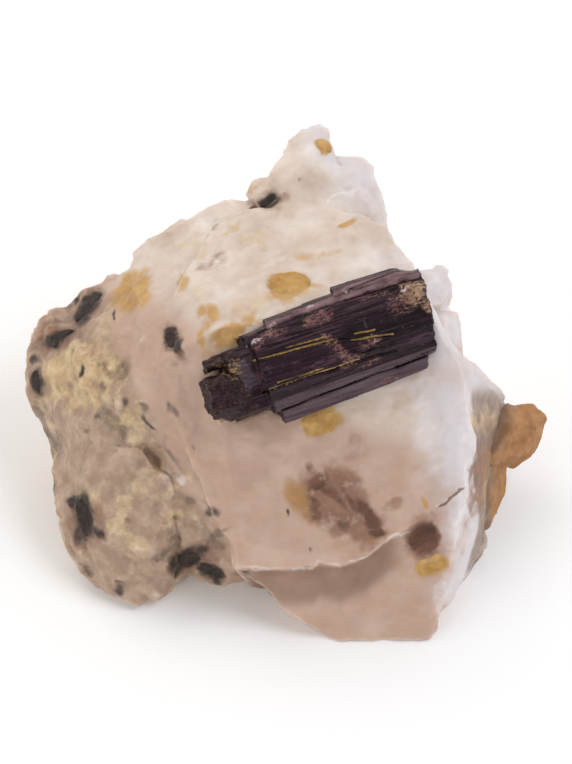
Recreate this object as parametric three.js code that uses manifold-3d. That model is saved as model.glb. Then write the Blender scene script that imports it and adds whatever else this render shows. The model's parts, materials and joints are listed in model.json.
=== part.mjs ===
// A painite crystal lying on its loose piece of calcite matrix, with the ochre, brown and dark
// mineral grains that show in the calcite. Millimetres, +Z up.
//
// The piece is described on its display face: across it (+X), up it and out of it. The display
// face leans back, so the finished piece is tipped up and stands on a flat broken underside.

import * as THREE from "three";
import { ConvexGeometry } from "three/addons/geometries/ConvexGeometry.js";
import { mergeVertices } from "three/addons/utils/BufferGeometryUtils.js";
import Module from "manifold-3d";

const wasm = await Module();
wasm.setup();

// Driving dimensions
const FACE_ELEVATION = 50; // degrees above the horizon that the display face looks
const CRYSTAL_SPIN = 21; // degrees that the crystal's length rises to the right on the face
const CRYSTAL_YAW = 3; // degrees that its right end is turned back into the stone
const CRYSTAL_CENTRE = [2.25, 18.6, 6.9]; // across, up, out
const SEAT_GAP = 0.1; // clearance of a crystal or grain in its pocket
const TABLE_CENTRE = [0, 13.77]; // across and back, from the front tip to the origin
const FLOOR_BLOCK = 120; // side of the block that cuts the underside flat
const GRAIN_DETAIL = 2; // subdivisions of a grain's icosahedron
const GRAIN_SINK = 0.15; // depth of a grain's widest section below the face
const MERGE_DISTANCE = 1e-4; // corners closer than this are one corner

const TILT = THREE.MathUtils.degToRad(90 - FACE_ELEVATION);

// The matrix as calcite blocks that grew into each other. face corners are across, up and out of
// the display face, table corners are across, back and height above the table.
const CALCITE_BLOCKS = {
  mainRhomb: {
    face: [
      [-3.2, 4.8, 3.65], [4.4, 4.9, 3.3], [11.4, 9.9, 4.0], [11.8, 12.6, 4.4], [11.6, 16.5, 5.0],
      [10.8, 18.9, 5.0], [9.6, 20.6, 6.3], [2.5, 21.0, 7.0], [-4.5, 20.3, 7.0], [-8.4, 18.0, 4.9],
      [-6.5, 12.6, 4.4], [-6.7, 24.0, 2.4], [-4.6, 27.0, -0.6], [0.5, 28.8, -1.2], [6.3, 27.0, 0.5],
      [8.1, 24.5, 2.8],
    ],
    table: [[-6, 22, 4], [7, 23.5, 4], [-2.2, 4.5, 0], [-4.5, 9, -2], [10, 6, -2], [7, 22, -2], [-5, 21, -2]],
  },
  lowerLedge: {
    face: [
      [-2.4, 4.5, 2.9], [-0.4, 2.4, 1.6], [4.3, 5.1, 2.75], [11.3, 9.7, 3.5], [10.9, 7.0, 2.9],
      [10.2, 4.0, 1.9], [9.8, 1.0, 0.7], [-1.3, 3.2, -0.6], [-0.4, 2.2, -0.9], [10.5, 3.3, -0.6],
      [11.9, 5.1, -1.6], [12.9, 6.3, -2.4],
    ],
    table: [[-1, 7, -2], [9.5, 2, 0.6], [12, 9, -2], [10, 18, -2], [0, 18, -2]],
  },
  ledgeToe: {
    face: [
      [-0.5, 2.3, 1.45], [9.9, 2.5, 1.45], [10.1, 1.5, 0.2], [9.9, 0.6, 0.1], [9.4, 0.0, 0.2],
      [8.1, 0.1, 0.2], [3.3, 0.1, 0.2], [2.9, 0.1, 0.1], [2.0, 0.9, -0.1], [-0.4, 2.0, -0.7],
    ],
    table: [[0, 4, -1], [9.5, 3, -1], [9.5, 8, 1], [1, 8, 1]],
  },
  rightSide: {
    face: [
      [11.4, 9.4, 2.6], [11.9, 17.9, 1.6], [13.3, 16.2, -1.6], [14.3, 15.2, -3.6], [13.6, 11.0, -4.4],
      [13.2, 8.0, -3.8], [12.9, 6.2, -2.6], [11.9, 5.0, -1.8], [10.9, 19.0, 3.2],
    ],
    table: [
      [12, 16, 6], [12.5, 15, -2], [11, 5, -2], [4, 20, -2], [5, 20, 12], [10.6, 19.5, 7], [9.5, 21.5, 2],
      [9, 22, -2],
    ],
  },
  knobUpper: {
    face: [
      [8.6, 24.1, 1.8], [9.9, 24.2, 1.6], [10.6, 23.2, 1.8], [10.1, 21.8, 2.6], [8.6, 21.4, 4.2],
      [7.0, 22.0, 2.0], [7.0, 24.0, 0.5], [9.2, 23.2, 3.0],
    ],
    table: [[9.9, 17, 10], [10.4, 19.2, 8], [8, 21.5, 6], [7, 15, 10]],
  },
  knobLower: {
    face: [
      [9.7, 21.4, 2.6], [11.0, 21.4, 2.2], [11.4, 20.6, 2.2], [11.2, 19.6, 2.6], [10.8, 18.9, 3.6],
      [9.4, 19.0, 5.0], [10.3, 20.5, 3.9],
    ],
    table: [[11.2, 14.5, 8], [11, 18, 7], [8, 19, 5], [8, 15, 10]],
  },
  peakTooth: {
    face: [
      [-0.2, 31.0, -1.8], [0.4, 32.6, -2.6], [1.2, 33.3, -2.9], [2.1, 33.6, -3.0], [2.6, 33.4, -3.0],
      [2.8, 32.6, -2.6], [3.2, 31.7, -2.2], [1.6, 31.8, -1.2], [-0.9, 28.6, -0.9], [4.0, 28.6, -0.7],
      [-1.2, 30.4, -2.0],
    ],
    table: [[-0.5, 26.4, 11], [3, 26.6, 10], [2, 26, 1], [0, 23, -2]],
  },
  peakShoulder: {
    face: [
      [3.2, 31.7, -2.6], [4.9, 31.45, -2.6], [5.5, 30.9, -2.5], [5.7, 29.6, -2.1], [6.0, 28.0, -1.3],
      [6.7, 26.3, -0.1], [4.2, 29.6, -1.1], [2.0, 28.0, -0.5], [2.0, 30.5, -1.8],
    ],
    table: [[5, 25.6, 10], [6.5, 22, 6], [5.5, 23, -2], [2, 25, -2]],
  },
  backKnob: {
    face: [
      [-2.8, 29.5, -2.3], [-2.5, 29.95, -2.5], [-1.6, 30.2, -2.4], [-0.6, 30.4, -2.2], [-2.5, 28.8, -1.9],
      [-1.6, 29.2, -1.3], [0.2, 29.4, -1.2], [-0.5, 28.0, -0.7],
    ],
    table: [[-2.4, 25.4, 12], [-2, 24.5, 2], [0, 25, 2]],
  },
  backBlock: {
    face: [[-4.0, 27.4, -1.9], [4.0, 28.4, -2.4]],
    table: [
      [-7.5, 20, -2], [-5.5, 24.2, -2], [1, 27.2, -2], [6.2, 25.4, -2], [7.5, 20, -2], [-6, 23, 10],
      [-2.6, 25.8, 14], [0, 26.8, 15], [4.6, 26.6, 14.6], [6, 24.5, 12], [7, 22, 12],
    ],
  },
  shoulderSlope: {
    face: [
      [-2.3, 28.5, -2.4], [-4.2, 28.6, -2.8], [-5.2, 28.0, -2.8], [-6.9, 26.3, -2.6], [-9.9, 25.2, -3.4],
      [-10.4, 24.2, -3.4], [-6.4, 22.0, 3.9], [-9.2, 20.6, 3.2], [-10.8, 15.4, 2.8], [-8.3, 18.2, 4.9],
      [-6.4, 13.0, 4.4], [-2.5, 26.0, 0.0],
    ],
    table: [[-9.5, 21, 5], [-4, 25, 6], [-9, 20, -2], [-3, 24, -2], [-8, 6, -2]],
  },
  leftShoulder: {
    face: [
      [-10.2, 24.3, -3.6], [-11.0, 23.6, -4.0], [-11.9, 23.1, -4.2], [-13.5, 22.8, -4.8],
      [-14.4, 21.6, -4.8], [-13.0, 19.8, -0.6], [-9.6, 20.0, 2.6], [-9.6, 16.0, 3.3], [-13.0, 16.0, 0.7],
    ],
    table: [[-12, 20, 3], [-12, 19, -2], [-10, 7, -2], [-6, 20, -2]],
  },
  leftLobeUpper: {
    face: [
      [-14.4, 21.6, -4.9], [-15.6, 21.6, -5.0], [-16.2, 20.8, -5.0], [-16.9, 19.0, -5.2],
      [-17.05, 17.4, -5.0], [-17.0, 16.4, -4.9], [-16.3, 15.7, -4.6], [-15.8, 14.1, -4.2],
      [-15.1, 12.7, -3.8], [-15.0, 19.8, -2.4], [-15.2, 17.2, -2.0], [-13.0, 18.6, 0.2],
      [-11.0, 16.0, 2.3], [-12.4, 13.0, 1.2], [-8.2, 15.4, 3.9], [-8.0, 13.0, 3.6],
    ],
    table: [[-14.5, 17.5, 3], [-14, 16, -2], [-13.5, 9, -2], [-7, 7, -2], [-8, 18, -2]],
  },
  leftLobeLower: {
    face: [
      [-15.1, 12.7, -3.8], [-15.4, 11.0, -3.5], [-15.2, 9.8, -3.3], [-14.6, 8.3, -2.8], [-14.7, 7.2, -2.7],
      [-14.2, 5.7, -2.3], [-13.2, 4.4, -2.0], [-11.9, 3.3, -1.7], [-9.7, 2.5, -1.1], [-8.5, 2.7, -1.0],
      [-7.0, 4.0, -1.1], [-12.9, 10.6, 0.8], [-9.6, 12.6, 2.9], [-7.4, 9.6, 2.9], [-8.6, 6.0, 2.0],
      [-11.6, 6.2, 1.3], [-12.6, 12.8, 1.0],
    ],
    table: [[-13, 9, -1], [-11, 6, -2], [-8, 6.5, -2], [-2, 11, -2], [-11, 16, -2], [-2, 17, -2]],
  },
  leftFoot: {
    face: [
      [-7.2, 4.3, -1.4], [-5.2, 3.85, -1.5], [-4.0, 3.7, -1.4], [-2.5, 4.1, -1.1], [-2.6, 5.6, 1.8],
      [-5.2, 10.2, 3.8], [-7.4, 10.0, 2.7], [-6.8, 6.2, 1.2], [-6.2, 13.8, 4.4], [-8.8, 15.0, 3.5],
    ],
    table: [[-7, 7, -1], [-2, 7, -1], [-2, 12, 4], [-6, 14, 4], [-9, 14, -1], [-1, 14, -1]],
  },
};

// The painite as parallel growth columns along its length. section corners are up and out in the
// crystal's own frame. start and end are where a column begins and ends along the length, with how
// far that face leans along for each millimetre up and out. sink is how far the column drops at its end.
const CRYSTAL_COLUMNS = {
  body: {
    section: [[2.8, 1.7], [1.3, 2.4], [-0.78, 2.5], [-0.85, -2.0], [2.4, -2.2], [3.0, 0.0]],
    start: [-4.9, 0.1, 0.3],
    end: [7.4, 0.12, 0],
  },
  lowerBevel: {
    section: [[-0.7, 2.3], [-1.0, 2.25], [-1.9, 1.45], [-2.0, -2.0], [-0.7, -2.0]],
    start: [-4.6, 0, 0.2],
    end: [7.3, 0.15, 0],
  },
  upperRib: {
    section: [[-1.8, 1.5], [-2.4, 1.3], [-2.45, -1.8], [-1.8, -1.8]],
    start: [-4.2, 0, 0],
    end: [7.4, 0.2, 0],
  },
  lowerRib: {
    section: [[-2.3, 1.0], [-2.5, 1.1], [-3.35, 0.75], [-3.1, -1.4], [-2.3, -1.8]],
    start: [-3.8, 0, 0],
    end: [7.6, 0.5, 0],
  },
  topRib: {
    section: [[3.45, 0.2], [3.25, 1.2], [2.7, 1.75], [2.2, -1.6], [3.1, -1.5]],
    start: [-2.8, 0, 0],
    end: [7.4, 0.15, 0],
  },
  topRibStep: {
    section: [[3.85, -0.1], [3.6, 0.9], [3.0, 1.35], [2.9, -1.2]],
    start: [2.0, 0, 0],
    end: [7.1, 0.15, 0],
    sink: 0.4,
  },
  leftCore: {
    section: [[2.3, 1.0], [1.0, 1.8], [-1.9, 1.3], [-2.1, -1.8], [2.3, -1.6]],
    start: [-6.3, 0, 0.2],
    end: [-3.8, 0, 0],
  },
  leftStub: {
    section: [[1.1, 0.9], [0.6, 1.6], [-1.1, 1.5], [-1.9, 0.7], [-1.9, -1.6], [1.1, -1.6]],
    start: [-7.9, 0.12, 0.1],
    end: [-3.8, 0, 0],
  },
  leftShard: {
    section: [[2.25, 0.5], [1.9, 1.0], [1.5, 0.8], [1.5, -0.8], [2.2, -0.8]],
    start: [-7.4, 0, 0],
    end: [-3.8, 0, 0],
  },
};

// The ochre mass that stands out of the right side: corners of its bulb and of its leg
const OCHRE_MASS = {
  bulb: [
    [12.6, 13.4, -2.6], [13.8, 14.9, -3.0], [14.4, 15.35, -3.6], [16.1, 15.4, -4.4], [16.95, 14.8, -4.8],
    [17.1, 14.3, -4.9], [16.7, 13.0, -4.9], [16.3, 12.1, -4.8], [14.9, 11.0, -4.4], [14.6, 13.8, -2.4],
    [13.2, 11.4, -2.2], [13.0, 13.4, -6.4], [15.8, 13.8, -6.6], [14.4, 11.6, -6.2],
  ],
  leg: [
    [12.3, 12.6, -1.8], [14.6, 11.6, -4.2], [14.4, 10.2, -4.0], [14.35, 9.2, -4.0], [13.9, 8.1, -3.8],
    [13.3, 7.2, -3.2], [12.4, 6.9, -2.8], [12.0, 8.4, -1.4], [12.0, 10.2, -1.0], [13.2, 9.6, -2.2],
    [12.6, 8.6, -5.6], [12.8, 11.8, -5.8],
  ],
};

// Grains in the face of the calcite, broken off flush with it. at is across and up the display face,
// half sizes are along, across and into the stone, spin is the grain's turn on the face.
const GRAINS = {
  ochre_grain_above: { mineral: "ochre", at: [0.05, 23.0], half: [1.15, 0.8, 0.8], spin: 12 },
  ochre_grain_below: { mineral: "ochre", at: [2.1, 14.3], half: [0.95, 0.7, 0.7], spin: 10 },
  ochre_grain_peak: { mineral: "ochre", at: [2.35, 32.1], half: [0.34, 0.3, 0.3], spin: 0 },
  ochre_sliver: { mineral: "ochre", at: [9.45, 4.95], half: [0.75, 0.22, 0.35], spin: 20 },
  brown_grain: { mineral: "brown", at: [8.85, 6.65], half: [0.78, 0.66, 0.6], spin: 80 },
  dark_grain_shoulder: { mineral: "dark", at: [-12.95, 21.7], half: [0.95, 0.42, 0.55], spin: 52 },
  dark_grain_band: { mineral: "dark", at: [-15.0, 19.6], half: [0.9, 0.26, 0.45], spin: 25 },
  dark_grain_edge: { mineral: "dark", at: [-16.2, 16.8], half: [0.55, 0.36, 0.5], spin: 110 },
  dark_grain_flank: { mineral: "dark", at: [-13.15, 8.0], half: [1.0, 0.42, 0.55], spin: 100 },
  dark_grain_foot: { mineral: "dark", at: [-6.35, 5.3], half: [0.9, 0.4, 0.55], spin: 45 },
  dark_grain_toe: { mineral: "dark", at: [-5.0, 4.6], half: [0.65, 0.3, 0.45], spin: -35 },
  dark_grain_middle: { mineral: "dark", at: [-7.35, 19.45], half: [0.8, 0.22, 0.4], spin: 112 },
  dark_grain_back: { mineral: "dark", at: [-1.2, 28.5], half: [0.45, 0.16, 0.3], spin: 32 },
};

const MINERALS = {
  calcite: { color: 0xd9cbbf, roughness: 0.5, metalness: 0 },
  painite: { color: 0x2e2029, roughness: 0.3, metalness: 0 },
  ochre: { color: 0xa87c42, roughness: 0.6, metalness: 0 },
  brown: { color: 0x5b4132, roughness: 0.55, metalness: 0 },
  dark: { color: 0x3a322d, roughness: 0.6, metalness: 0 },
};

// Corner given by its place over the table, turned into display face coordinates.
function fromTable([across, back, height]) {
  return new THREE.Vector3(across, back, height).applyAxisAngle(new THREE.Vector3(1, 0, 0), -TILT);
}

function hull(corners) {
  return new ConvexGeometry(corners.map((corner) => new THREE.Vector3(...corner)));
}

function solidOf(geometry) {
  const bare = geometry.clone();
  bare.deleteAttribute("normal");
  bare.deleteAttribute("uv");
  const merged = mergeVertices(bare, MERGE_DISTANCE);
  return new wasm.Manifold(
    new wasm.Mesh({
      numProp: 3,
      vertProperties: merged.attributes.position.array,
      triVerts: new Uint32Array(merged.index.array),
    }),
  );
}

function geometryOf(solid) {
  const { vertProperties, triVerts } = solid.getMesh();
  const geometry = new THREE.BufferGeometry();
  geometry.setAttribute("position", new THREE.BufferAttribute(vertProperties, 3));
  geometry.setIndex(new THREE.BufferAttribute(triVerts, 1));
  geometry.computeVertexNormals();
  return geometry;
}

function joined(geometries) {
  return geometries.map(solidOf).reduce((whole, piece) => whole.add(piece));
}

// A copy of a convex block grown by the seat gap on every side of its box, in its own frame.
function grownBlock(geometry) {
  geometry.computeBoundingBox();
  const size = geometry.boundingBox.getSize(new THREE.Vector3());
  const centre = geometry.boundingBox.getCenter(new THREE.Vector3());
  const grown = new THREE.Vector3(...size.toArray().map((side) => 1 + (2 * SEAT_GAP) / side));
  return geometry
    .clone()
    .translate(...centre.clone().negate().toArray())
    .scale(...grown.toArray())
    .translate(...centre.toArray());
}

function mineralMesh(name, solid, mineral) {
  const mesh = new THREE.Mesh(geometryOf(solid), new THREE.MeshStandardMaterial(MINERALS[mineral]));
  mesh.name = name;
  return mesh;
}

// A mineral piece joined from convex blocks, with the pocket that it needs, both in its own frame.
function seatedPiece(name, convexBlocks, mineral) {
  return {
    mesh: mineralMesh(name, joined(convexBlocks), mineral),
    pocket: joined(convexBlocks.map(grownBlock)),
  };
}

// The pocket of a placed piece, in display face coordinates.
function placedPocket({ mesh, pocket }) {
  mesh.updateMatrix();
  return solidOf(geometryOf(pocket).applyMatrix4(mesh.matrix));
}

// Everything under the table top, in display face coordinates.
function underTable() {
  return new THREE.BoxGeometry(FLOOR_BLOCK, FLOOR_BLOCK, FLOOR_BLOCK)
    .translate(0, 0, -FLOOR_BLOCK / 2)
    .rotateX(-TILT);
}

function calciteBlocks() {
  const blocks = Object.values(CALCITE_BLOCKS).map(({ face, table }) =>
    hull([...face, ...table.map((corner) => fromTable(corner).toArray())]),
  );
  return joined(blocks).subtract(solidOf(underTable()));
}

function growthColumn({ section, start, end, sink = 0 }) {
  const along = ([base, perUp, perOut], up, out) => base + perUp * up + perOut * out;
  const corners = section.flatMap(([up, out]) => [
    [along(start, up, out), up, out],
    [along(end, up, out), up - sink, out],
  ]);
  return hull(corners);
}

function painiteCrystal() {
  const crystal = seatedPiece("painite_crystal", Object.values(CRYSTAL_COLUMNS).map(growthColumn), "painite");
  const { degToRad } = THREE.MathUtils;
  crystal.mesh.position.set(...CRYSTAL_CENTRE);
  crystal.mesh.rotation.set(0, degToRad(CRYSTAL_YAW), degToRad(CRYSTAL_SPIN), "ZYX");
  return crystal;
}

function ochreMass() {
  return seatedPiece("ochre_mass", Object.values(OCHRE_MASS).map(hull), "ochre");
}

// How far out the stone's surface is at a place on the display face.
function surfaceOut(stone, [across, up]) {
  const start = new THREE.Vector3(across, up, FLOOR_BLOCK);
  const [hit] = new THREE.Raycaster(start, new THREE.Vector3(0, 0, -1)).intersectObject(stone);
  return hit.point.z;
}

// A grain as the part of an ellipsoid that lies inside the stone, with its pocket.
function grain(name, { mineral, at, half, spin }, blocks, stone) {
  const placed = (geometry) =>
    geometry
      .rotateZ(THREE.MathUtils.degToRad(spin))
      .translate(...at, surfaceOut(stone, at) - GRAIN_SINK);
  const ellipsoid = new THREE.IcosahedronGeometry(1, GRAIN_DETAIL).scale(...half);
  return {
    mesh: mineralMesh(name, solidOf(placed(ellipsoid.clone())).intersect(blocks), mineral),
    pocket: solidOf(placed(grownBlock(ellipsoid))),
  };
}

const blocks = calciteBlocks();
const stone = new THREE.Mesh(geometryOf(blocks), new THREE.MeshBasicMaterial());
const grains = Object.entries(GRAINS).map(([name, facts]) => grain(name, facts, blocks, stone));
const seated = [painiteCrystal(), ochreMass(), ...grains];
const matrix = seated.reduce((whole, piece) => whole.subtract(placedPocket(piece)), blocks);

const specimen = new THREE.Group();
specimen.add(mineralMesh("calcite_matrix", matrix, "calcite"), ...seated.map(({ mesh }) => mesh));
specimen.rotation.x = TILT;
specimen.position.set(-TABLE_CENTRE[0], -TABLE_CENTRE[1], 0);

const part = new THREE.Group();
part.add(specimen);

export default part;
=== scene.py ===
"""Looks of a painite crystal lying on its loose piece of calcite matrix.

Shapes are worked in millimetres and turned into metres when a piece is finished. Places on the stone are
given on its display face: across it, up it and out of it. The display face looks up at the camera. Places
on the crystal are given along it, up its face and out of it.
"""

import itertools
import json
import math

import bmesh
import bpy
import numpy as np
from mathutils import Matrix, Vector
from mathutils.bvhtree import BVHTree


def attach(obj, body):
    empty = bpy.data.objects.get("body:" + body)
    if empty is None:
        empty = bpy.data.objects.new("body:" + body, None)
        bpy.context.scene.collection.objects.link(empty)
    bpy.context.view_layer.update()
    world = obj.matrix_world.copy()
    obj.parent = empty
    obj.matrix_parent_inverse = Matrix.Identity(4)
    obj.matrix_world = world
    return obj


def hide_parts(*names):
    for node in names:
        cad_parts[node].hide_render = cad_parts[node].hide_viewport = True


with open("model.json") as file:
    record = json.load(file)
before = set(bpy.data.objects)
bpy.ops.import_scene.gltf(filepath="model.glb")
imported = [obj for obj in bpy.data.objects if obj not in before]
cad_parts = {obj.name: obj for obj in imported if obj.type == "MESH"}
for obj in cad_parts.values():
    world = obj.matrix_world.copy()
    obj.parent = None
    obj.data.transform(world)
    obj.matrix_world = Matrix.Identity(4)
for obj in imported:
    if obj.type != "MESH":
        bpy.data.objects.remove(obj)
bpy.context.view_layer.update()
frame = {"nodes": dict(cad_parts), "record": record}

MM = 0.001

# Photograph and camera
PHOTO_HEIGHT_PX = 764
PIXEL_MM = 0.065
CAMERA_DISTANCE_MM = 800
SENSOR_MM = 36
VIEW_CENTRE_MM = (-0.065, 16.8)

# How the display face stands: how far above the horizon it looks, and how far the foremost tip of the
# stone is in front of the origin
FACE_ELEVATION = math.radians(50)
FRONT_TIP_MM = 13.77

# Lights: name, place in metres, size in metres, watts and colour
LIGHTS = (
    ("key_right", (0.35, -0.1, 0.55), 0.3, 1.3, "#F2F5FF"),
    ("warm_back", (-0.2, 0.3, 0.5), 0.3, 0.5, "#FFF0DC"),
    ("fill_left", (-0.45, -0.5, 0.3), 0.4, 0.8, "#FFFAF2"),
)

# Surroundings: dim in front of the display face and bright elsewhere, by the cosine of the angle from
# straight out of the face
DIM_STARTS_COSINE = 0.6
DIM_FULL_COSINE = 0.96
BRIGHT_STRENGTH = 0.82
DIM_STRENGTH = 0.28
FLOOR_HALF_M = 2.0
FLOOR_GLOW = 0.07

# Where the crystal lies on the display face, and how far its striations turn from its length
CRYSTAL_CENTRE_MM = (2.25, 18.6, 6.9)
CRYSTAL_SPIN = math.radians(21)
CRYSTAL_YAW = math.radians(3)
CRYSTAL_TURN = np.array(Matrix.Rotation(CRYSTAL_SPIN, 3, "Z") @ Matrix.Rotation(CRYSTAL_YAW, 3, "Y"))
STRIATION_TURN_DEG = -4

# Mesh fineness, and how much more the hidden parts of the calcite are thinned out
CALCITE_VOXEL_MM = 0.125
CALCITE_TRIANGLES = 190000
HIDDEN_THINNING = 6
CRYSTAL_VOXEL_MM = 0.07
GRAIN_VOXEL_MM = 0.07
MASS_VOXEL_MM = 0.1

# Seats of the crystal and grains in the calcite: how near counts as a seat's wall, how far the wall is
# drawn into the piece, how far a seat is felt and how far a grain spreads over the stone
SEAT_WALL_MM = 0.24
SEAT_OVERLAP_MM = 0.12
SEAT_REACH_MM = 1.0
GRAIN_SPREAD_MM = 0.22

# Stains round the grains: how far from a grain they end and are full, and the halo round a dark grain
STAIN_REACH_MM = 0.7
STAIN_FULL_MM = 0.05
HALO_FULL_MM = 0.3
HALO_STRENGTH = 0.4

# The flat base: heights where the relief starts and is full, and the lowest height of a seated piece
BASE_FADE_MM = (0.1, 0.8)
SEATED_LOWEST_MM = 0.02

# Noise nodes rarely leave this range, which is stretched to 0 to 1
NOISE_LOW = 0.32
NOISE_HIGH = 0.68
NOISE_ROUGHNESS = 0.6

# Depth of the finest relief, drawn as bump
GRIT_DEPTH_MM = 0.06
STREAK_DEPTH_MM = 0.05

# Patterns shared by the stone and its grains: size in mm, turn in degrees, stretch along the turn, detail
STONE_PATTERNS = {
    "cloud": (3.4, 0, 1, 4),
    "veil": (1.1, 30, 2.6, 4),
    "mottle": (0.9, 0, 1, 5),
    "grit": (0.3, 0, 1, 4),
}

# Darker and lighter shade of each mineral that shows in the calcite
OCHRE_SHADES = ("#B0813F", "#D3AA6A")
BROWN_SHADES = ("#4C2F22", "#7E5745")
DARK_SHADES = ("#1A110D", "#43332A")
MASS_SHADES = ("#93643A", "#BB8A5A")
MASS_EDGE_SHADES = ("#78604C", "#9A8068")

# Marks on the display face: across, up, half length, half width, turn in degrees, strength
OCHRE_MARKS = (
    (0.05, 23.0, 1.6, 1.1, 12, 1.0),
    (1.6, 23.1, 0.9, 0.35, 5, 0.6),
    (2.2, 14.3, 1.35, 0.95, 10, 0.85),
    (2.4, 32.15, 0.55, 0.45, 0, 0.85),
    (9.5, 4.95, 0.9, 0.28, 20, 0.8),
    (-5.2, 21.2, 0.7, 0.85, 0, 0.85),
    (-5.4, 19.6, 0.35, 1.0, 0, 0.7),
    (-5.0, 18.5, 0.7, 0.4, 20, 0.6),
    (-3.7, 20.0, 1.5, 0.7, 35, 0.95),
    (-2.2, 20.8, 0.8, 0.5, 20, 0.8),
    (3.9, 27.0, 0.8, 0.32, 32, 0.8),
    (1.2, 25.0, 0.9, 0.45, 0, 0.5),
    (2.8, 25.2, 1.1, 0.3, 10, 0.5),
    (-10.0, 22.7, 1.6, 1.1, 50, 1.0),
    (-6.8, 23.3, 0.4, 0.8, 0, 0.65),
    (-2.4, 29.5, 0.55, 0.5, 0, 0.6),
    (8.9, 9.2, 0.2, 0.45, 10, 0.8),
)
YELLOW_MARKS = (
    (-13.4, 17.3, 3.0, 2.2, 20, 1.0),
    (-10.6, 14.8, 1.0, 1.0, 0, 0.8),
    (-7.0, 9.8, 0.7, 1.5, 0, 0.7),
    (-3.5, 27.0, 0.7, 0.35, 20, 0.8),
    (-2.2, 25.9, 0.8, 0.5, 0, 0.7),
    (-6.0, 25.6, 1.1, 0.6, 20, 0.6),
    (-5.6, 22.9, 1.2, 0.9, 0, 0.5),
    (-2.2, 22.0, 1.8, 0.9, 30, 0.5),
    (13.0, 14.2, 1.0, 1.3, 0, 0.6),
)
ORANGE_MARKS = (
    (0.95, 9.1, 1.6, 0.65, 125, 1.0),
    (5.6, 6.7, 0.9, 0.5, 0, 0.5),
    (3.4, 6.3, 1.1, 0.35, 15, 0.4),
    (13.4, 11.5, 0.7, 3.4, -12, 0.6),
)
STAIN_MARKS = (
    (3.3, 9.0, 2.9, 1.8, 140, 1.0),
    (4.9, 7.4, 1.6, 1.2, 150, 0.8),
    (4.4, 12.6, 0.9, 1.3, 0, 0.35),
    (6.9, 8.9, 0.8, 0.5, 0, 0.5),
    (8.85, 6.65, 1.4, 1.5, 0, 0.7),
    (-4.9, 24.4, 1.1, 0.4, 15, 0.5),
    (-4.5, 26.9, 0.5, 0.3, 0, 0.5),
    (-0.6, 28.6, 1.0, 0.7, 40, 0.5),
    (-15.2, 19.7, 1.8, 0.8, 22, 0.8),
    (-13.2, 7.6, 1.1, 1.8, 0, 0.8),
    (-5.8, 5.4, 1.8, 1.0, 20, 0.8),
    (-13.0, 21.6, 1.5, 0.9, 50, 0.6),
    (-7.3, 19.4, 1.5, 0.7, 112, 0.6),
    (12.6, 10.8, 0.6, 3.0, -10, 0.8),
)
BROWN_MARKS = (
    (1.9, 10.4, 0.8, 0.5, 25, 1.0),
    (1.5, 11.2, 0.4, 0.5, 0, 0.6),
    (1.65, 8.9, 1.3, 0.4, 108, 0.9),
    (3.0, 9.5, 1.6, 0.3, 125, 0.6),
    (4.2, 8.9, 1.4, 0.28, 125, 0.6),
    (5.3, 8.1, 1.4, 0.5, 123, 0.95),
    (5.8, 7.2, 0.45, 0.45, 0, 0.9),
    (3.7, 7.5, 0.5, 0.3, 140, 0.6),
    (8.85, 6.65, 1.0, 1.1, 0, 1.0),
    (-15.2, 19.6, 1.4, 0.45, 22, 0.6),
    (-13.5, 6.8, 0.6, 0.9, 0, 0.5),
)
DARK_MARKS = (
    (-12.9, 21.8, 1.0, 0.5, 50, 1.0),
    (-13.5, 20.9, 0.55, 0.55, 0, 0.95),
    (-13.7, 22.4, 0.25, 0.55, -20, 0.8),
    (-15.1, 19.6, 1.2, 0.3, 22, 0.75),
    (-16.3, 18.4, 0.35, 0.35, 0, 0.7),
    (-16.3, 16.7, 0.5, 0.8, 10, 1.0),
    (-13.4, 17.6, 0.14, 0.55, -8, 0.8),
    (-11.1, 21.3, 0.14, 0.32, 0, 0.9),
    (-7.3, 19.4, 1.05, 0.32, 112, 1.0),
    (-10.5, 15.3, 0.28, 0.4, 0, 0.6),
    (-9.3, 15.0, 0.35, 0.2, -40, 0.5),
    (-8.9, 14.2, 0.5, 0.14, -45, 0.85),
    (-12.2, 14.8, 0.28, 0.16, 0, 0.6),
    (-7.2, 14.9, 0.45, 0.22, 110, 0.55),
    (-6.0, 12.4, 0.25, 0.14, 110, 0.6),
    (-7.2, 11.9, 1.1, 0.18, -60, 0.5),
    (-13.0, 13.6, 0.4, 0.2, 0, 0.45),
    (-10.5, 7.6, 0.3, 0.2, 0, 0.55),
    (-7.2, 7.9, 0.4, 0.16, 30, 0.5),
    # The next mark is painted shade on the lobe's side of its border with the front face
    (-4.9, 8.55, 0.5, 0.4, 0, 0.75),
    (-13.2, 8.2, 1.5, 0.6, 100, 1.0),
    (-13.9, 9.2, 0.35, 0.35, 0, 0.9),
    (-13.5, 6.8, 0.5, 0.75, 0, 0.75),
    (-12.3, 7.2, 0.75, 0.28, -45, 0.8),
    (-6.4, 5.3, 1.4, 0.55, 42, 1.0),
    (-5.6, 6.1, 0.5, 0.4, 0, 0.85),
    (-5.0, 4.4, 0.85, 0.42, -38, 1.0),
    (-4.8, 6.8, 1.2, 0.3, 28, 0.45),
    (-10.9, 3.4, 0.35, 0.3, 0, 0.7),
    # The next mark is painted shade on the lobe's side of its border with the front face
    (-2.9, 4.5, 0.4, 0.14, 0, 0.6),
    (-1.2, 28.45, 0.6, 0.22, 32, 1.0),
    (0.05, 8.26, 0.12, 0.16, 0, 1.0),
    (1.4, 6.0, 0.12, 0.12, 0, 0.7),
    (0.9, 30.05, 0.18, 0.12, 0, 0.6),
)
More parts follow.
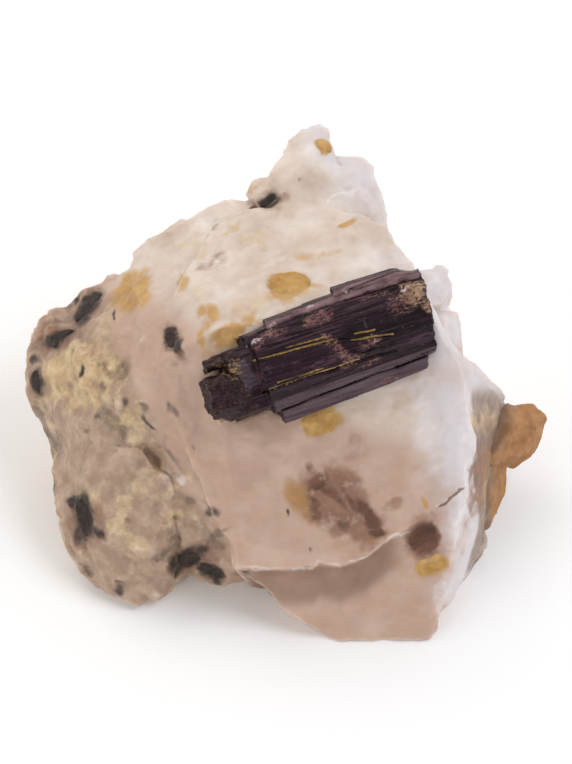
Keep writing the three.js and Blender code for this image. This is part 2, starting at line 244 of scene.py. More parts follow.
PALE_MARKS = (
    (3.65, 29.1, 1.1, 0.14, 28, 0.9),
    (-5.7, 27.1, 0.6, 0.28, 0, 0.7),
    (-1.5, 24.6, 2.4, 0.4, 20, 0.5),
    (3.4, 24.3, 2.4, 0.5, 18, 0.5),
    (-3.6, 22.6, 2.2, 0.45, 30, 0.5),
    (7.4, 24.4, 1.0, 1.0, 0, 0.6),
    (1.4, 31.6, 0.7, 1.0, 0, 0.5),
    (-9.2, 19.7, 1.3, 0.3, 20, 0.45),
    (-6.9, 10.3, 0.35, 0.5, 0, 0.6),
    (9.2, 13.5, 1.2, 3.0, 10, 0.5),
)

# Lines on the display face, as corners across and up. The ridge and the lip carry a painted highlight
RIDGE_LINE = ((11.6, 15.7), (11.4, 10.3), (11.2, 8.3), (10.6, 5.8), (9.9, 3.7), (9.7, 1.6))
LIP_LINE = (
    (-2.9, 4.7), (1.7, 4.8), (2.1, 5.2), (3.5, 4.9), (5.2, 5.6), (5.5, 5.9), (6.6, 6.8), (8.05, 7.1),
)
CRACK_LINE = ((9.9, 8.7), (10.4, 9.0), (10.7, 9.5), (11.4, 10.0))

# Edges of the calcite's zones, as the places where a zone starts and is full: the lobe's and the top's up the
# face, and the cool zone's, which is painted bluish light from the right, and the side zone's across it. The
# edge of the tan zone, which is partly painted shade, slopes
LOBE_TOP_MM = (23.8, 21.4)
TOP_EDGE_MM = (19.6, 22.0)
TAN_EDGE_MM = (21.0, 13.5)
COOL_EDGE_MM = (5.6, 12.0)
SIDE_EDGE_MM = (11.9, 12.5)
SIDE_TOP_MM = (17.5, 15.0)

# Right border of the left lobe, as places up and across the display face
LOBE_BORDER = ((4.4, -2.9), (8.3, -5.2), (11.8, -7.4), (15.0, -9.0), (18.9, -11.0), (22.0, -11.5))

# Lines on the crystal, as corners along and up it. The golden lines are painted glints
GOLD_LINES = (
    ((-4.5, -0.83), (0.9, -1.18), (2.0, -1.25)),
    ((-4.4, 1.2), (-3.0, 1.03), (1.1, 0.6)),
    ((2.0, 0.15), (2.75, -0.04), (4.6, -0.45)),
    ((-3.4, -0.7), (-0.4, -0.93)),
    ((-2.2, 1.22), (0.5, 0.95)),
    ((2.3, 0.42), (3.6, 0.24)),
)
TOP_STRIP_LINE = ((-3.5, 2.75), (1.2, 2.85), (6.2, 2.4), (7.8, 2.35))

# Grooves on the crystal: corners along and up it, half width and depth
GROOVES = (
    (((-3.9, -2.46), (7.4, -2.46)), 0.09, 0.3),
    (((4.1, -2.45), (6.8, -2.42)), 0.17, 0.6),
    (((-4.5, -0.93), (0.9, -1.28), (4.5, -1.5)), 0.09, 0.2),
    (((-4.4, 1.12), (1.1, 0.52), (4.6, -0.55)), 0.07, 0.14),
    (TOP_STRIP_LINE, 0.08, 0.2),
    (((2.0, 3.2), (7.5, 2.95)), 0.07, 0.12),
    (((-2.0, 1.9), (2.6, 1.55)), 0.05, 0.08),
    (((2.9, 1.25), (6.6, 0.9)), 0.05, 0.08),
    (((-3.6, 0.1), (2.8, -0.4)), 0.05, 0.07),
    (((1.5, -0.75), (6.8, -1.3)), 0.05, 0.08),
)

# Edges of the crystal's zones, as the places where a zone starts and is full: along the crystal for the stub
# and the strips' left ends, up it for the grey strips' top
STUB_EDGE_MM = (-4.9, -5.5)
TOP_STRIP_LEFT_MM = (-4.6, -4.2)
GREY_STRIP_LEFT_MM = (-4.3, -3.9)
GREY_STRIP_TOP_MM = (-1.85, -1.97)

# The grey bevel by the stub: its four edges, and how far its ends lean for each millimetre up
BEVEL_LEFT_MM = (-5.5, -5.4)
BEVEL_RIGHT_MM = (-4.5, -4.6)
BEVEL_LOW_MM = (-0.5, -0.3)
BEVEL_HIGH_MM = (1.6, 1.4)
BEVEL_LEAN = 0.22

# Worn corners of the crystal: where the wear starts and is full along it, the same up it, and how far a
# corner moves along, up and out
WORN_CORNERS = (
    ((6.0, 7.8), (2.0, 3.8), (-0.25, -0.55, 0)),
    ((-6.9, -8.0), (-0.6, -1.9), (0.3, 0.4, 0)),
)

# Marks on the crystal: along, up, half length, half width, turn in degrees, strength
PINK_MARKS = (
    (0.6, 0.9, 0.35, 0.8, 25, 0.7),
    (1.2, -0.4, 0.4, 0.9, 10, 0.85),
    (1.5, -1.0, 0.9, 0.35, 5, 0.9),
    (0.5, 2.4, 0.9, 0.42, 0, 0.9),
    (-2.7, 2.25, 1.1, 0.36, 4, 0.8),
    (-3.7, 2.0, 0.4, 0.4, 0, 0.7),
    (3.05, -0.4, 0.75, 0.5, 5, 0.75),
    (5.7, 1.2, 0.9, 0.8, 0, 0.6),
    (4.6, 2.2, 1.6, 0.25, -5, 0.6),
    (3.6, -3.2, 1.2, 0.14, 0, 0.9),
    (2.6, -1.6, 1.2, 0.3, 0, 0.5),
)
CRUST_MARKS = (
    (6.9, 1.5, 0.9, 0.75, 0, 1.0),
    (7.3, 0.7, 0.35, 0.6, 0, 0.8),
    (6.35, 2.05, 0.35, 0.25, 0, 0.9),
)
GLINT_MARKS = (
    (0.25, 3.05, 0.3, 0.14, 10, 1.0),
    (-3.9, 2.3, 0.45, 0.2, 15, 0.9),
    (-2.4, 2.9, 0.3, 0.1, 0, 0.7),
    (6.35, 2.05, 0.3, 0.18, 0, 1.0),
    (2.9, 3.3, 0.5, 0.1, 0, 0.6),
    (3.3, -0.15, 0.14, 0.4, 20, 0.5),
)
BRASS_MARKS = (
    (-5.9, 1.1, 0.8, 0.8, 0, 0.9),
    (-6.4, 1.8, 0.8, 0.3, 0, 0.6),
    (-3.7, -0.98, 0.5, 0.16, -4, 1.0),
    (-2.6, -0.98, 0.5, 0.1, -4, 0.9),
    (-5.4, -0.6, 0.3, 0.3, 0, 0.5),
)


def linear(code):
    """Linear colour of an sRGB hex code."""
    parts = (int(code[i : i + 2], 16) / 255 for i in (1, 3, 5))
    return (*(p / 12.92 if p <= 0.04045 else ((p + 0.055) / 1.055) ** 2.4 for p in parts), 1.0)


def smooth(start, end, values):
    """0 before start, 1 after end, eased between."""
    t = np.clip((values - start) / (end - start), 0, 1)
    return t * t * (3 - 2 * t)


def scattered(cells, seed):
    """A fixed scatter of numbers from 0 to 1, one for each row of whole numbers."""
    axis_primes = (73856093, 19349663, 83492791)
    seed_prime = 2654435761
    mixer = 0x45D9F3B
    largest = 0xFFFFFFFF
    key = cells.astype(np.int64) * axis_primes
    key = (key[:, 0] ^ key[:, 1] ^ key[:, 2] ^ (seed * seed_prime)) & largest
    for _ in range(2):
        key = (((key >> 16) ^ key) * mixer) & largest
    return ((key >> 16) ^ key) / largest


def soft_noise(points, seed):
    """Smooth noise from -1 to 1, with features about one unit wide."""
    cell = np.floor(points)
    t = points - cell
    t = t * t * (3 - 2 * t)
    total = np.zeros(len(points))
    for corner in itertools.product((0, 1), repeat=3):
        weight = np.prod(np.where(corner, t, 1 - t), axis=1)
        total += weight * scattered(cell + corner, seed)
    return 2 * total - 1


def layered_noise(points, size, octaves, seed):
    """Soft noise with finer and fainter copies of itself. size is its widest feature."""
    total = np.zeros(len(points))
    for octave in range(octaves):
        total += 0.5**octave * soft_noise(points * 2**octave / size + 17.3 * octave, seed + octave)
    return total


def noise_vectors(points, size, octaves, seed):
    """Three layered noises side by side, one for each axis."""
    return np.stack([layered_noise(points, size, octaves, seed + 10 * axis) for axis in range(3)], axis=1)


def cell_gap(points, seed, rhombic):
    """Distance to the nearest of a scatter of seed points, one in each unit cell."""
    cell = np.floor(points)
    nearest = np.full(len(points), 9.0)
    for step in itertools.product((-1, 0, 1), repeat=3):
        there = cell + step
        seedpoint = there + np.stack([scattered(there, seed + axis) for axis in range(3)], axis=1)
        away = np.abs(points - seedpoint)
        nearest = np.minimum(nearest, away.max(axis=1) if rhombic else np.sqrt((away**2).sum(axis=1)))
    return nearest


def lumps(points, size, seed):
    """Rounded lumps about size wide: 1 on a lump's top, falling to 0 in the creases between."""
    return np.clip(1 - cell_gap(points / size, seed, rhombic=False), 0, 1)


def terraces(points, size, levels, seed):
    """Nested rhombic steps from 1 on a block's top to 0, as calcite breaks. size is a block's width."""
    edges = np.array(((0.92, 0.38, 0.1), (-0.45, 0.85, 0.28), (0.1, -0.3, 0.95)))
    skewed = points @ edges.T / size + 0.05 * noise_vectors(points, 0.5 * size, 2, seed)
    height = np.clip(1 - cell_gap(skewed, seed, rhombic=True), 0, 1) * levels
    tread = np.floor(height)
    return (tread + smooth(0.82, 1.0, height - tread)) / levels


def on_face(points):
    """Millimetres in the CAD frame as places across, up and out of the display face."""
    sine, cosine = math.sin(FACE_ELEVATION), math.cos(FACE_ELEVATION)
    across, back, height = (points + (0, FRONT_TIP_MM, 0)).T
    return np.stack((across, back * sine + height * cosine, height * sine - back * cosine), axis=1)


def from_face(place):
    """Places across, up and out of the display face as millimetres in the CAD frame."""
    sine, cosine = math.sin(FACE_ELEVATION), math.cos(FACE_ELEVATION)
    across, up, out = np.asarray(place).T
    return np.stack((across, up * sine - out * cosine - FRONT_TIP_MM, up * cosine + out * sine), axis=-1)


def face_direction(vectors):
    """Directions in the CAD frame as directions across, up and out of the display face."""
    return on_face(vectors) - on_face(np.zeros((1, 3)))


def in_crystal(points):
    """Millimetres in the CAD frame as places along, up and out of the crystal."""
    return (on_face(points) - CRYSTAL_CENTRE_MM) @ CRYSTAL_TURN


def from_crystal(place):
    """Places along, up and out of the crystal as millimetres in the CAD frame."""
    return from_face(place @ CRYSTAL_TURN.T + CRYSTAL_CENTRE_MM)


def worn_corners(place):
    """Places on the crystal, with its upper right and lower left corners worn round."""
    worn = place.copy()
    for along_edge, up_edge, move in WORN_CORNERS:
        wear = smooth(*along_edge, place[:, 0]) * smooth(*up_edge, place[:, 1])
        worn += wear[:, None] * move
    return worn


def marked(place, marks, ragged, seed):
    """How strongly a list of marks shows at some places: half strength at a mark's edge, which wanders."""
    across, up = (place + ragged * noise_vectors(place, 1.1, 3, seed))[:, :2].T
    shown = np.zeros(len(place))
    for centre, height, half_long, half_wide, turn, strength in marks:
        cosine, sine = math.cos(math.radians(turn)), math.sin(math.radians(turn))
        along = ((across - centre) * cosine + (up - height) * sine) / half_long
        aside = ((up - height) * cosine - (across - centre) * sine) / half_wide
        shown = np.maximum(shown, strength * smooth(1.6, 0.4, np.sqrt(along**2 + aside**2)))
    return shown


def line_gap(place, corners):
    """Distance, on the face, from some places to a line through some corners."""
    flat = place[:, :2]
    nearest = np.full(len(place), 99.0)
    for start, end in itertools.pairwise(np.array(corners)):
        run = end - start
        along = np.clip((flat - start) @ run / (run @ run), 0, 1)
        nearest = np.minimum(nearest, np.hypot(*(flat - start - along[:, None] * run).T))
    return nearest


def new_piece(name, mesh):
    """Puts a mesh into the scene under a name."""
    piece = bpy.data.objects.new(name, mesh)
    bpy.context.scene.collection.objects.link(piece)
    return piece


def modified(piece):
    """Swaps a piece's mesh for the result of its modifiers."""
    shaped = piece.evaluated_get(bpy.context.evaluated_depsgraph_get())
    piece.data = bpy.data.meshes.new_from_object(shaped)
    piece.modifiers.clear()


def fine_copy(node, voxel):
    """A finely and evenly meshed copy of a CAD node, in millimetres."""
    mesh = frame["nodes"][node].data.copy()
    mesh.transform(Matrix.Scale(1 / MM, 4))
    mesh.materials.clear()
    work = bmesh.new()
    work.from_mesh(mesh)
    bmesh.ops.remove_doubles(work, verts=work.verts, dist=1e-4)
    work.to_mesh(mesh)
    work.free()
    piece = new_piece(f"{node}_fine", mesh)
    remesh = piece.modifiers.new("voxels", "REMESH")
    remesh.mode = "VOXEL"
    remesh.voxel_size = voxel
    modified(piece)
    return piece


def thin_out(piece, triangles, hidden):
    """Brings a piece down to about this many triangles, fewest where it is hidden."""
    there = sum(len(face.vertices) - 2 for face in piece.data.polygons)
    if there <= triangles:
        return
    group = piece.vertex_groups.new(name="hidden")
    for tenth in range(1, 11):
        chosen = np.flatnonzero(np.round(hidden * 10) == tenth)
        group.add(chosen.tolist(), tenth / 10, "REPLACE")
    thinner = piece.modifiers.new("thinner", "DECIMATE")
    thinner.ratio = triangles / there
    thinner.vertex_group = "hidden"
    thinner.vertex_group_factor = HIDDEN_THINNING
    modified(piece)
    piece.vertex_groups.clear()


def mesh_points(mesh):
    """Places of a mesh's vertices, one row each."""
    points = np.empty(3 * len(mesh.vertices))
    mesh.vertices.foreach_get("co", points)
    return points.reshape(-1, 3)


def mesh_normals(mesh):
    """Directions that a mesh's vertices face, one row each."""
    normals = np.empty(3 * len(mesh.vertices))
    mesh.vertex_normals.foreach_get("vector", normals)
    return normals.reshape(-1, 3)


def move_points(mesh, points):
    """Moves a mesh's vertices to new places, one row each."""
    mesh.vertices.foreach_set("co", points.ravel())
    mesh.update()


def edge_relief(mesh, rounds):
    """How far each vertex stands out of the surface around it: edges above 0, creases below."""
    ends = np.empty(2 * len(mesh.edges), dtype=np.int32)
    mesh.edges.foreach_get("vertices", ends)
    first, second = ends.reshape(-1, 2).T
    count = len(mesh.vertices)
    degree = np.bincount(first, minlength=count) + np.bincount(second, minlength=count)
    points = mesh_points(mesh)
    level = points.copy()
    for _ in range(rounds):
        for axis in range(3):
            total = np.bincount(first, level[second, axis], count)
            total += np.bincount(second, level[first, axis], count)
            level[:, axis] = total / degree
    return ((points - level) * mesh_normals(mesh)).sum(axis=1)


def paint(mesh, **fields):
    """Stores named numbers or places for each vertex, for the materials to read."""
    for name, values in fields.items():
        if values.ndim == 1:
            layer = mesh.attributes.new(name, "FLOAT", "POINT")
            layer.data.foreach_set("value", values.astype(np.float32))
        else:
            layer = mesh.attributes.new(name, "FLOAT_VECTOR", "POINT")
            layer.data.foreach_set("vector", values.astype(np.float32).ravel())


def finish_piece(piece, node, material):
    """Hands a piece over in metres, in place of its CAD node."""
    piece.data.transform(Matrix.Scale(MM, 4))
    piece.data.shade_smooth()
    piece.data.materials.append(material)
    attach(piece, "root")
    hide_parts(node)


def gap_to(nodes, points, reach):
    """Distance of each point to the nearest of some CAD nodes, up to reach, and the place nearest to it."""
    gap = np.full(len(points), float(reach))
    nearest = points.copy()
    for name in nodes:
        mesh = frame["nodes"][name].data
        corners = mesh_points(mesh) / MM
        faces = [tuple(face.vertices) for face in mesh.polygons]
        tree = BVHTree.FromPolygons(corners.tolist(), faces)
        inside = (points > corners.min(axis=0) - reach) & (points < corners.max(axis=0) + reach)
        for index in np.flatnonzero(inside.all(axis=1)):
            place, _, _, distance = tree.find_nearest(points[index], gap[index])
            if place is not None:
                gap[index] = distance
                nearest[index] = place
    return gap, nearest


def weathered(points):
    """Points of the calcite and its grains, nudged so that straight edges wander. The crystal's seat and the
    flat base stay."""
    seat_gap, _ = gap_to(["painite_crystal"], points, SEAT_REACH_MM)
    free = smooth(0.1, SEAT_REACH_MM, seat_gap)
    nudge = 0.14 * noise_vectors(points, 1.3, 3, 901) + 0.12 * noise_vectors(points, 3.6, 1, 951)
    nudge[:, 2] *= smooth(*BASE_FADE_MM, points[:, 2])
    return points + nudge * free[:, None]


def stone_zones(place):
    """Shares of the left lobe, the top and the smooth front face at places on the display face."""
    across, up, _ = place.T
    border = np.interp(up, *np.array(LOBE_BORDER).T) + 0.6 * layered_noise(place, 2.2, 2, 15)
    lobe = smooth(border + 0.5, border - 1.2, across) * smooth(*LOBE_TOP_MM, up + 0.3 * (across + 10))
    top = smooth(*TOP_EDGE_MM, up) * (1 - lobe)
    return lobe, top, (1 - lobe) * (1 - top)


def calcite_relief(points, place, facing):
    """Relief of the matrix in millimetres: waxy in front, softer lumps on top, lumpy on the left lobe and
    stepped elsewhere. Each part is a height times a pattern of some width."""
    lobe, top, front = stone_zones(place)
    across, up, _ = place.T
    seen = smooth(-0.1, 0.3, facing)
    plateau = smooth(1.3, 0.7, np.hypot((across + 11.6) / 3.0, (up - 11.0) / 2.6))
    slant = Matrix.Rotation(math.radians(28), 3, "Z")
    streaks = layered_noise((place @ np.array(slant)) * (0.3, 1, 1), 0.8, 3, 31)
    lumpy = 0.42 * (lumps(points + 0.4 * noise_vectors(points, 1.0, 2, 5), 2.0, 3) - 0.45)
    lumpy += 0.2 * layered_noise(points, 1.5, 4, 11)
    lumpy *= 1 - 0.6 * plateau
    soft = 0.16 * layered_noise(points, 2.4, 3, 33) + 0.05 * streaks
    soft += smooth(0.5, -3.0, across) * 0.2 * (lumps(points, 1.5, 35) - 0.45)
    waxy = 0.07 * layered_noise(points, 4.5, 2, 21) + 0.03 * layered_noise(points, 1.2, 3, 25)
    waxy += 0.012 * streaks
    broken = 0.9 * (terraces(points, 5.0, 4, 41) - 0.5) + 0.2 * (terraces(points, 2.2, 2, 43) - 0.5)
    broken += 0.3 * layered_noise(points, 7.0, 1, 45) + 0.05 * layered_noise(points, 1.1, 3, 47)
    return seen * (lobe * lumpy + top * soft + front * waxy) + (1 - seen) * broken


def calcite_matrix(seated, slots, material):
    """Matrix stone, closed up round the pieces that are seated in it."""
    piece = fine_copy("calcite_matrix", CALCITE_VOXEL_MM)
    points = mesh_points(piece.data)
    normals = mesh_normals(piece.data)
    facing = face_direction(normals)[:, 2]
    gap, nearest = gap_to(seated, points, SEAT_REACH_MM)
    wall = smooth(SEAT_WALL_MM, 0.6 * SEAT_WALL_MM, gap)
    drawn_in = wall * (1 + SEAT_OVERLAP_MM / np.maximum(gap, 0.01))
    relief = calcite_relief(points, on_face(points), facing)
    relief *= smooth(0.1, 0.8 * SEAT_REACH_MM, gap) * smooth(*BASE_FADE_MM, points[:, 2])
    points = points + (nearest - points) * drawn_in[:, None]
    points = weathered(points) + normals * relief[:, None]
    points[:, 2] = np.maximum(points[:, 2], 0)
    move_points(piece.data, points)
    buried = smooth(0.3, 0.1, gap) * smooth(0.9, 0.5, facing)
    thin_out(piece, CALCITE_TRIANGLES, np.maximum(smooth(0.35, 0.0, facing), buried))

    mesh = piece.data
    place = on_face(mesh_points(mesh))
    across, up, _ = place.T
    facing = smooth(-0.15, 0.25, face_direction(mesh_normals(mesh))[:, 2])
    lobe, _, front = stone_zones(place)
    cloud = layered_noise(place, 4.0, 3, 51)
    slanted = place @ np.array(Matrix.Rotation(math.radians(-50), 3, "Z"))
    from_seat, _ = gap_to(seated, mesh_points(mesh), SEAT_REACH_MM)
    standing = edge_relief(mesh, 6) * smooth(0.3, 0.9, from_seat)
    from_grains = {}
    for slot in ("ochre_mineral", "brown_mineral", "dark_mineral"):
        grains = [name for name in seated if slots[name] == slot and name != "ochre_mass"]
        from_grains[slot], _ = gap_to(grains, mesh_points(mesh), SEAT_REACH_MM)
    wander = 0.2 * layered_noise(place, 0.7, 2, 93)
    stained = {slot: smooth(STAIN_REACH_MM, STAIN_FULL_MM, gap + wander) for slot, gap in from_grains.items()}
    from_dark = from_grains["dark_mineral"] + 0.25 * layered_noise(place, 0.9, 2, 94)
    halo = HALO_STRENGTH * smooth(SEAT_REACH_MM, HALO_FULL_MM, from_dark)
    ragged_place = place + 0.12 * noise_vectors(place, 0.5, 2, 91)
    lip = line_gap(ragged_place, LIP_LINE)
    ridge = line_gap(ragged_place, RIDGE_LINE)
    below_lip = np.interp(across, *np.array(LIP_LINE).T) - up
    high = 0.5 * np.maximum(0, up - 24)
    paint(
        mesh,
        place=place,
        lobe_zone=lobe,
        lobe_smear=lobe * smooth(0.15, 0.75, layered_noise(slanted * (0.6, 1, 1), 1.7, 4, 95)),
        lobe_glow=lobe * smooth(0.1, 0.8, layered_noise(place, 1.9, 4, 97)),
        # The tan zone is partly the calcite's own tan and partly painted shade: darker towards the lower
        # left, lighter on top
        tan_zone=smooth(*TAN_EDGE_MM, up + 0.55 * across + 1.2 * cloud),
        # The cool zone is painted bluish light from the right, stronger towards the top
        cool_zone=smooth(*COOL_EDGE_MM, across + 0.9 * cloud + 0.15 * (up - 14) + high) * facing,
        # The shade zone is painted shadow in a band under the lip, fading further down
        shade_zone=smooth(0, 0.3, below_lip) * smooth(3.2, 1.6, below_lip) * smooth(8.5, 6.0, across) * front,
        side_zone=smooth(*SIDE_EDGE_MM, across + 0.4 * cloud) * smooth(*SIDE_TOP_MM, up),
        # The bright line is a painted highlight along the lip and the ridge
        bright_line=facing * np.maximum(smooth(0.16, 0.03, lip), 0.7 * smooth(0.7, 0.1, ridge)),
        # Convex edges are lighter: partly whitened chips, partly painted highlight
        edges=smooth(0.02, 0.1, standing),
        # Painted shade in concave creases, kept off the seats of the pieces and fainter on faces turned away
        creases=smooth(0.015, 0.1, -standing) * (0.35 + 0.65 * facing),
        yellow_mark=marked(place, YELLOW_MARKS, 0.7, 55) * facing,
        pale_mark=marked(place, PALE_MARKS, 0.4, 57) * facing,
        ochre_mark=np.maximum(marked(place, OCHRE_MARKS, 0.3, 61) * facing, stained["ochre_mineral"]),
        orange_mark=marked(place, ORANGE_MARKS, 0.2, 65) * facing,
        stain_mark=np.maximum(marked(place, STAIN_MARKS, 0.5, 69) * facing, halo),
        brown_mark=np.maximum(marked(place, BROWN_MARKS, 0.25, 71) * facing, stained["brown_mineral"]),
        dark_mark=np.maximum(marked(place, DARK_MARKS, 0.3, 81) * facing, stained["dark_mineral"]),
        crack=smooth(0.16, 0.04, line_gap(ragged_place, CRACK_LINE)) * facing,
    )
    finish_piece(piece, "calcite_matrix", material)


def painite_crystal(material):
    """Crystal of parallel columns: striated along its length, with grooves, crusts and broken column ends."""
    piece = fine_copy("painite_crystal", CRYSTAL_VOXEL_MM)
    points = mesh_points(piece.data)
    normals = mesh_normals(piece.data)
    place = in_crystal(points)
    along, raised, _ = place.T
    turned = in_crystal(points + normals) - place
    ends = smooth(0.45, 0.85, np.abs(turned[:, 0]))
    front = smooth(0.2, 0.6, turned[:, 2])
    stub = smooth(*STUB_EDGE_MM, along)
    crust = marked(place, CRUST_MARKS, 0.3, 131) * front
    pink = marked(place, PINK_MARKS, 0.3, 133) * front
    groove = np.zeros(len(points))
    wander = place + 0.05 * noise_vectors(place * (0.4, 1, 1), 0.6, 2, 141)
    for corners, half_width, depth in GROOVES:
        groove = np.maximum(groove, depth * smooth(half_width, 0.3 * half_width, line_gap(wander, corners)))
    striated = place @ np.array(Matrix.Rotation(math.radians(STRIATION_TURN_DEG), 3, "Z"))
    lengthwise = striated * (0.05, 1, 1)
    patchy = layered_noise(striated * (0.3, 1, 1), 0.9, 4, 117)
    striation = 0.035 * layered_noise(lengthwise, 0.5, 3, 101)
    striation += 0.03 * layered_noise(lengthwise, 0.16, 2, 103)
    plate = np.floor(place / (3.4, 0.55, 9) + 0.15 * soft_noise(lengthwise, 105)[:, None])
    plates = 0.09 * (scattered(plate, 107) - 0.5)
    rough = 0.15 * layered_noise(place * (0.6, 1, 1), 0.55, 4, 111)
    broken = 0.12 * (scattered(np.floor(place / (9, 0.45, 0.45)), 113) - 0.6)
    broken += 0.1 * layered_noise(place, 0.5, 3, 115)
    relief = (striation + plates) * (1 - ends) * (1 - 0.6 * stub) + ends * broken
    relief += rough * np.clip(stub + crust + 0.6 * pink, 0, 1) + 0.06 * crust - 0.05 * pink - groove * front
    move_points(piece.data, from_crystal(worn_corners(place)) + normals * relief[:, None])

    above_line = raised - np.interp(along, *np.array(TOP_STRIP_LINE).T)
    wandering = place + 0.05 * noise_vectors(place * (0.5, 1, 1), 0.7, 2, 143)
    # Thin golden lines are painted glints along the striations
    gold = np.max([smooth(0.1, 0.02, line_gap(wandering, corners)) for corners in GOLD_LINES], axis=0)
    leaning = along + BEVEL_LEAN * raised
    bevel = smooth(*BEVEL_LEFT_MM, leaning) * smooth(*BEVEL_RIGHT_MM, leaning)
    bevel *= smooth(*BEVEL_LOW_MM, raised) * smooth(*BEVEL_HIGH_MM, raised)
    # The lower strips are lighter grey: partly their own colour, partly painted reflection
    grey_strip = smooth(*GREY_STRIP_TOP_MM, raised + 0.03 * along) * smooth(*GREY_STRIP_LEFT_MM, along)
    paint(
        piece.data,
        place=place,
        stub_zone=stub,
        # The top strip is lighter: partly its own colour, partly painted reflection
        top_strip=smooth(-0.03, 0.1, above_line) * smooth(*TOP_STRIP_LEFT_MM, along) * front,
        grey_strip=grey_strip * (1 - 0.7 * ends),
        bevel=bevel,
        # painted golden glints
        gold=gold * front,
        pink=pink,
        crust=crust,
        brass=marked(place, BRASS_MARKS, 0.15, 123) * front,
        glint=marked(place, GLINT_MARKS, 0.15, 125) * front,
        # Lighter patches along the striations are painted sheen, darker ones painted shadow
        lustre=smooth(0.1, 0.8, patchy),
        gloom=smooth(-0.1, -0.7, patchy),
        # Painted shade in the grooves, darker the deeper they are
        groove=np.clip(groove / 0.2, 0, 1) * front,
    )
    finish_piece(piece, "painite_crystal", material)


def mineral_grain(node, material):
    """Grain that broke off flush with the calcite, with a rough face that spreads thinly over its rim."""
    piece = fine_copy(node, GRAIN_VOXEL_MM)
    points = mesh_points(piece.data)
    normals = mesh_normals(piece.data)
    rough = 0.01 + 0.04 * layered_noise(points, 0.5, 3, 201)
    place = on_face(points)
    half = np.ptp(place, axis=0) / 2
    middle = place.min(axis=0) + half
    spread = 1 + (GRAIN_SPREAD_MM, GRAIN_SPREAD_MM, 0) / half
    place = middle + (place - middle) * spread
    points = weathered(from_face(place)) + normals * rough[:, None]
    points[:, 2] = np.maximum(points[:, 2], SEATED_LOWEST_MM)
    move_points(piece.data, points)
    paint(piece.data, place=place, edge_zone=np.zeros(len(points)))
    finish_piece(piece, node, material)


def ochre_mass(material):
    """Ochre lump standing out of the right side: soft and granular, darker where it meets the calcite."""
    piece = fine_copy("ochre_mass", MASS_VOXEL_MM)
    points = mesh_points(piece.data)
    normals = mesh_normals(piece.data)
    relief = 0.1 * layered_noise(points, 2.4, 3, 221) + 0.12 * (lumps(points, 1.1, 223) - 0.4)
    place = on_face(points)
    points = weathered(points) + normals * relief[:, None]
    points[:, 2] = np.maximum(points[:, 2], SEATED_LOWEST_MM)
    move_points(piece.data, points)
    edge = 12.9 + 0.25 * np.maximum(0, place[:, 1] - 11) + 0.4 * layered_noise(place, 1.5, 2, 225)
    paint(piece.data, place=place, edge_zone=smooth(edge + 1.4, edge - 0.4, place[:, 0]))
    finish_piece(piece, "ochre_mass", material)


def per_mm(size):
    """Texture scale of a pattern whose cells are this many millimetres wide."""
    return 1 / size


def add_node(tree, kind, inputs=None, **settings):
    """Adds a node with its settings. inputs holds values, or sockets to link, by input name or number."""
    made = tree.nodes.new(kind)
    for name, value in settings.items():
        setattr(made, name, value)
    for key, value in (inputs or {}).items():
        if isinstance(value, bpy.types.NodeSocket):
            tree.links.new(value, made.inputs[key])
        else:
            made.inputs[key].default_value = value
    return made


def new_material(name):
    """A node material with a Principled surface. Gives the material, its tree and the surface node."""
    material = bpy.data.materials.new(name)
    material.use_nodes = True
    tree = material.node_tree
    return material, tree, tree.nodes["Principled BSDF"]


def link(tree, socket, surface, name):
    """Links a socket to an input of the surface."""
    tree.links.new(socket, surface.inputs[name])


def patterns(tree, kinds):
    """Noise patterns stretched to 0 to 1, by name. A kind is its size in mm, turn, stretch and detail."""
    place = add_node(tree, "ShaderNodeAttribute", attribute_name="place").outputs["Vector"]
    made = {}
    for name, (size, turn, stretch, detail) in kinds.items():
        where = add_node(
            tree,
            "ShaderNodeMapping",
            {"Vector": place, "Rotation": (0, 0, math.radians(turn)), "Scale": (stretch, 1, 1)},
            vector_type="TEXTURE",
        ).outputs["Vector"]
        noise = add_node(
            tree,
            "ShaderNodeTexNoise",
            {"Vector": where, "Scale": per_mm(size), "Detail": detail, "Roughness": NOISE_ROUGHNESS},
        ).outputs["Fac"]
        made[name] = add_node(
            tree, "ShaderNodeMapRange", {"Value": noise, "From Min": NOISE_LOW, "From Max": NOISE_HIGH}
        ).outputs["Result"]
    return made


def shaded(tree, codes, pattern):
    """Colour that goes from one hex code to another with a pattern."""
    low, high = (linear(code) for code in codes)
    return add_node(tree, "ShaderNodeMix", {0: pattern, 6: low, 7: high}, data_type="RGBA").outputs[2]


def layered_colour(tree, colour, layers):
    """Colours laid over each other. A layer is two hex codes, the pattern between them and its cover."""
    for codes, pattern, cover in layers:
        shade = shaded(tree, codes, pattern)
        colour = add_node(tree, "ShaderNodeMix", {0: cover, 6: colour, 7: shade}, data_type="RGBA").outputs[2]
    return colour


def covers(tree, edges):
    """How much each painted field covers, by name. An edge is the pattern that frays it, by how much, the
    values where the cover starts and is full, and the most that it covers."""
    made = {}
    for name, (pattern, fray, start, full, most) in edges.items():
        field = add_node(tree, "ShaderNodeAttribute", attribute_name=name).outputs["Fac"]
        swing = add_node(
            tree, "ShaderNodeMapRange", {"Value": pattern, "To Min": 1 - fray, "To Max": 1 + fray}
        ).outputs["Result"]
        frayed = add_node(tree, "ShaderNodeMath", {0: field, 1: swing}, operation="MULTIPLY")
        made[name] = add_node(
            tree,
            "ShaderNodeMapRange",
            {"Value": frayed.outputs[0], "From Min": start, "From Max": full, "To Max": most},
            interpolation_type="SMOOTHSTEP",
        ).outputs["Result"]
    return made


